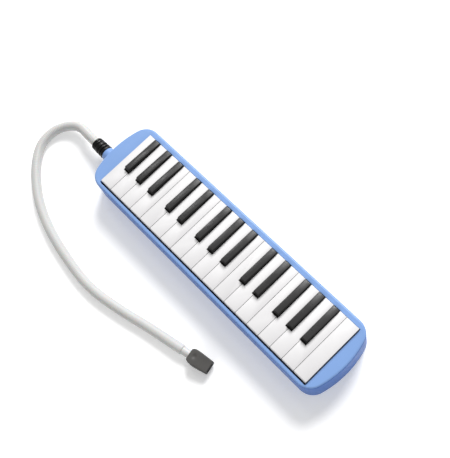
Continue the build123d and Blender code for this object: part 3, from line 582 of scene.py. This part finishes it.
# ---------------------------------------------------------------- hose
def spline_points():
    """Points along the smooth NURBS line of the hose's route."""
    curve = bpy.data.curves.new("route", "CURVE")
    curve.dimensions = "3D"
    curve.resolution_u = ROUTE_RESOLUTION
    spline = curve.splines.new("NURBS")
    spline.points.add(len(HOSE_ROUTE) - 1)
    for point, place in zip(spline.points, HOSE_ROUTE):
        point.co = (*place, 1)
    spline.order_u = 3
    spline.use_endpoint_u = True
    line = bpy.data.objects.new("route", curve)
    bpy.context.scene.collection.objects.link(line)
    bpy.context.view_layer.update()
    mesh = bpy.data.meshes.new_from_object(line)
    points = [v.co.copy() for v in mesh.vertices]
    bpy.data.objects.remove(line)
    return points


def along(points, distances):
    """Places on a line of points at distances from its start, and the line's headings there."""
    steps = [0.0]
    for a, b in zip(points, points[1:]):
        steps.append(steps[-1] + (b - a).length)
    places, headings, k = [], [], 0
    for distance in distances:
        while k < len(points) - 2 and steps[k + 1] < distance:
            k += 1
        share = (distance - steps[k]) / (steps[k + 1] - steps[k])
        places.append(points[k].lerp(points[k + 1], share))
        headings.append((points[k + 1] - points[k]).normalized())
    return places, headings


def hose_radius(distance, length):
    """The hose's radius: smooth start in the connector, fine ribs, then the mouthpiece's plain neck."""
    to_end = length - distance
    if distance < START_CUFF:
        return START_CUFF_RADIUS
    if to_end < END_NECK:
        return END_NECK_RADIUS
    swell = min(1, (distance - START_CUFF) / RIB_FADE, (to_end - END_NECK) / RIB_FADE)
    ends = START_CUFF_RADIUS if distance < length / 2 else END_NECK_RADIUS
    wave = math.cos(2 * math.pi * (distance - START_CUFF) / RIB_PITCH)
    rib = HOSE_RADIUS - RIB_DEPTH * (0.5 + 0.5 * wave)
    return ends + (rib - ends) * math.sin(swell * math.pi / 2)


def make_hose():
    """The corrugated hose, as a tube along its NURBS line."""
    line = spline_points()
    length = sum((b - a).length for a, b in zip(line, line[1:]))
    count = round(length / RIB_PITCH * RINGS_PER_RIB)
    distances = [length * i / count for i in range(count + 1)]
    places, headings = along(line, distances)
    side = headings[0].orthogonal().normalized()
    rings = []
    for place, heading, distance in zip(places, headings, distances):
        side = (side - side.dot(heading) * heading).normalized()
        other = heading.cross(side)
        radius = hose_radius(distance, length)
        angles = (2 * math.pi * i / HOSE_SEGMENTS for i in range(HOSE_SEGMENTS))
        rings.append([place + radius * (math.cos(a) * side + math.sin(a) * other) for a in angles])
    points, faces = capped(rings)
    hose = new_piece("blow_hose", points, faces, HOSE_BODY, "hose_plastic", "hose")


def make_connector():
    """The ribbed plug between the hose and the case."""
    outer, tip = CONNECTOR_LOW.x, CONNECTOR_HIGH.x
    base = INLET_LOW.x - FIT_GAP
    centre = ((CONNECTOR_LOW.y + CONNECTOR_HIGH.y) / 2, (CONNECTOR_LOW.z + CONNECTOR_HIGH.z) / 2)
    core, mouth, edge = CONNECTOR_CORE * MM, START_CUFF_RADIUS - FIT_GAP, SPIGOT_EDGE
    profile = [(outer, mouth), (outer, core)]
    for start, end, radius in CONNECTOR_RINGS:
        for angle in arc_steps(180, 0, RING_STEPS):
            x = (start + end) / 2 + (end - start) / 2 * math.cos(angle)
            height = CONNECTOR_CORE + (radius - CONNECTOR_CORE) * math.sin(angle) ** RING_ROUNDNESS
            profile.append((outer + x * MM, height * MM))
    profile += [(base, core), (base, SPIGOT_RADIUS)]
    profile += [(tip - edge, SPIGOT_RADIUS), (tip, SPIGOT_RADIUS - edge), (tip, CONNECTOR_BORE)]
    socket_end = outer + CONNECTOR_SOCKET_DEPTH
    profile += [(socket_end, CONNECTOR_BORE), (socket_end, mouth)]
    points, faces = turned(profile, centre)
    new_piece("ribbed_connector", points, faces, HOSE_BODY, "connector_black", "hose_connector")


def make_inlet():
    """The socket on the case's left end, with a rounded mouth and a small flare at the wall."""
    mouth, inner = INLET_LOW.x, INLET_HIGH.x
    centre = ((INLET_LOW.y + INLET_HIGH.y) / 2, (INLET_LOW.z + INLET_HIGH.z) / 2)
    radius = (INLET_HIGH.y - INLET_LOW.y) / 2
    wall = CASE_LOW.x + INLET_IN_WALL
    edge, flare, bevel = INLET_EDGE, INLET_FLARE, INLET_BEVEL
    profile = [(mouth, INLET_SOCKET_RADIUS + bevel)]
    for angle in arc_steps(90, 0, 5):
        profile.append((mouth + edge * (1 - math.sin(angle)), radius - edge * (1 - math.cos(angle))))
    for angle in arc_steps(0, 80, 6):
        profile.append((wall - flare * (1 - math.sin(angle)), radius + flare * (1 - math.cos(angle))))
    back = wall + INLET_FLARE_DEPTH
    profile += [(back, radius + flare), (back, INLET_NECK), (inner, INLET_NECK), (inner, INLET_BORE)]
    depth = mouth + INLET_SOCKET_DEPTH
    profile += [(depth, INLET_BORE), (depth, INLET_SOCKET_RADIUS)]
    profile.append((mouth + bevel, INLET_SOCKET_RADIUS))
    points, faces = turned(profile, centre)
    new_piece("inlet_socket", points, faces, CASE_BODY, "case_blue", "air_inlet")


# ---------------------------------------------------------------- mouthpiece
def value_at(table, place):
    """A value from a table of (place, value) rows, on a straight line between two rows."""
    for (p0, v0), (p1, v1) in zip(table, table[1:]):
        if place <= p1:
            return v0 + (v1 - v0) * (place - p0) / (p1 - p0)
    return table[-1][1]


def rounded_section(half_width, half_height, corner, steps=10, corner_steps=5):
    """A rounded rectangle of (y, z) points, with points along its sides."""
    corner = min(corner, half_width, half_height)
    centres = [
        (half_width - corner, -half_height + corner, -90),
        (half_width - corner, half_height - corner, 0),
        (-half_width + corner, half_height - corner, 90),
        (-half_width + corner, -half_height + corner, 180),
    ]
    section = []
    for index, (y, z, start) in enumerate(centres):
        before = centres[index - 1]
        outward = Vector((math.cos(math.radians(start)), math.sin(math.radians(start))))
        run_start = Vector((before[0], before[1])) + corner * outward
        run_end = Vector((y, z)) + corner * outward
        section += [run_start.lerp(run_end, i / steps) for i in range(steps)]
        for angle in arc_steps(start, start + 90, corner_steps)[:-1]:
            section.append(Vector((y, z)) + corner * Vector((math.cos(angle), math.sin(angle))))
    return section


def make_mouthpiece():
    """The wedge mouthpiece: shoulders by the hose, a thumb dimple, and a slot in its flat lip end."""
    close_to_neck, close_to_lips = [0, 0.3, 0.8, 1.5, 2.2], [28.2, 28.6, 28.85, MOUTHPIECE_LENGTH]
    places = close_to_neck + [3 + 0.75 * i for i in range(34)] + close_to_lips
    lips = MOUTHPIECE_LENGTH * MM
    rings = []

    def add(x, half_width, half_height, corner):
        rings.append([Vector((x, p.x, p.y)) for p in rounded_section(half_width, half_height, corner)])

    neck, bevel = END_NECK_RADIUS + FIT_GAP, MOUTHPIECE_BEVEL
    add(NECK_SOCKET_DEPTH, neck, neck, neck)
    add(bevel, neck, neck, neck)
    add(0, neck + bevel, neck + bevel, neck)
    for place in places:
        half_width = value_at(MOUTHPIECE_WIDTHS, place) * MM
        half_height = value_at(MOUTHPIECE_HEIGHTS, place) * MM
        from_end = min(place, MOUTHPIECE_LENGTH - place)
        turn_in = (1 - min(1, from_end / END_TURN_LENGTH)) ** 2 * END_TURN_IN
        add(place * MM, half_width - turn_in, half_height - turn_in, MOUTHPIECE_CORNER)
    slot_width, slot_height = LIP_SLOT_HALF
    add(lips, slot_width + bevel, slot_height + bevel, LIP_SLOT_MOUTH_CORNER)
    add(lips - bevel, slot_width, slot_height, LIP_SLOT_CORNER)
    add(lips - LIP_SLOT_DEPTH, slot_width, slot_height, LIP_SLOT_CORNER)
    for ring in rings:
        for p in ring:
            away = math.hypot(p.x - DIMPLE_AT[0], p.y - DIMPLE_AT[1]) / DIMPLE_RADIUS
            if away < 1 and p.z > DIMPLE_OVER_Z:
                p.z -= DIMPLE_DEPTH * (1 - away**2) ** 1.5
    start, end = Vector(HOSE_ROUTE[-2]), Vector(HOSE_ROUTE[-1])
    heading = math.atan2(end.y - start.y, end.x - start.x)
    turn = Matrix.Translation(end) @ Matrix.Rotation(heading, 4, "Z")
    points, faces = capped([[turn @ p for p in ring] for ring in rings])
    piece = new_piece("lip_mouthpiece", points, faces, HOSE_BODY, "mouthpiece_grey", "mouthpiece")
    # Faces that do not face up are painted a darker grey, as shade.
    repaint(piece, "mouthpiece_side_painted_shade", lambda middle, normal: normal.z < 0.4)


# ---------------------------------------------------------------- stage
def make_stage():
    """A pale floor that shines faintly, an even pale sky, and soft studio lights."""
    mesh = bpy.data.meshes.new("floor")
    half = FLOOR_HALF
    corners = [(-half, -half, 0), (half, -half, 0), (half, half, 0), (-half, half, 0)]
    mesh.from_pydata(corners, [], [(0, 1, 2, 3)])
    floor = bpy.data.objects.new("floor", mesh)
    bpy.context.scene.collection.objects.link(floor)
    material = bpy.data.materials.new("floor")
    material.use_nodes = True
    principled = material.node_tree.nodes["Principled BSDF"]
    principled.inputs["Base Color"].default_value = FLOOR_COLOUR
    principled.inputs["Roughness"].default_value = 0.9
    principled.inputs["Specular IOR Level"].default_value = 0.1
    principled.inputs["Emission Color"].default_value = (1, 1, 1, 1)
    principled.inputs["Emission Strength"].default_value = FLOOR_GLOW
    mesh.materials.append(material)
    world = bpy.data.worlds.new("world")
    world.use_nodes = True
    background = world.node_tree.nodes["Background"]
    background.inputs["Color"].default_value = (1, 1, 1, 1)
    background.inputs["Strength"].default_value = SKY_STRENGTH
    bpy.context.scene.world = world
    key = bpy.data.lights.new("key_light", "SUN")
    key.energy = KEY_STRENGTH
    key.angle = math.radians(KEY_ANGLE)
    add_light(key, KEY_DIRECTION, (0, 0, 0))
    fill = bpy.data.lights.new("fill_light", "AREA")
    fill.size, fill.energy = FILL_SIZE, FILL_POWER
    add_light(fill, FILL_PLACE, (0, 0, 0))
    streak = bpy.data.lights.new("streak_light", "AREA")
    streak.size, streak.energy = STREAK_SIZE, STREAK_POWER
    add_light(streak, STREAK_PLACE, STREAK_TARGET)
    bpy.context.scene.view_settings.view_transform = "Standard"


def add_light(data, place, target):
    """Puts a light in its place, facing a point."""
    light = bpy.data.objects.new(data.name, data)
    light.location = place
    light.rotation_euler = (Vector(target) - Vector(place)).to_track_quat("-Z", "Y").to_euler()
    bpy.context.scene.collection.objects.link(light)


def paint_cad_nodes():
    """Gives each CAD node its slot's material, and the lower shell's wall its deeper blue of painted
    shade.
    """
    for row in frame["record"]["subparts"]:
        node = frame["nodes"][row["node"]]
        node.data.materials.clear()
        node.data.materials.append(MATERIALS[row["material_slot"]])
    # The lower shell's outer wall also gets the deeper blue of painted shade.
    repaint(frame["nodes"]["bottom_cover"], "case_wall_painted_shade", on_shaded_case_wall)


# ---------------------------------------------------------------- making it all
MATERIALS = make_materials()
make_camera()
make_connector()
make_mouthpiece()
make_hose()
make_inlet()
make_top_case()
make_white_keys()
make_black_keys()
make_underside()
paint_cad_nodes()
make_stage()
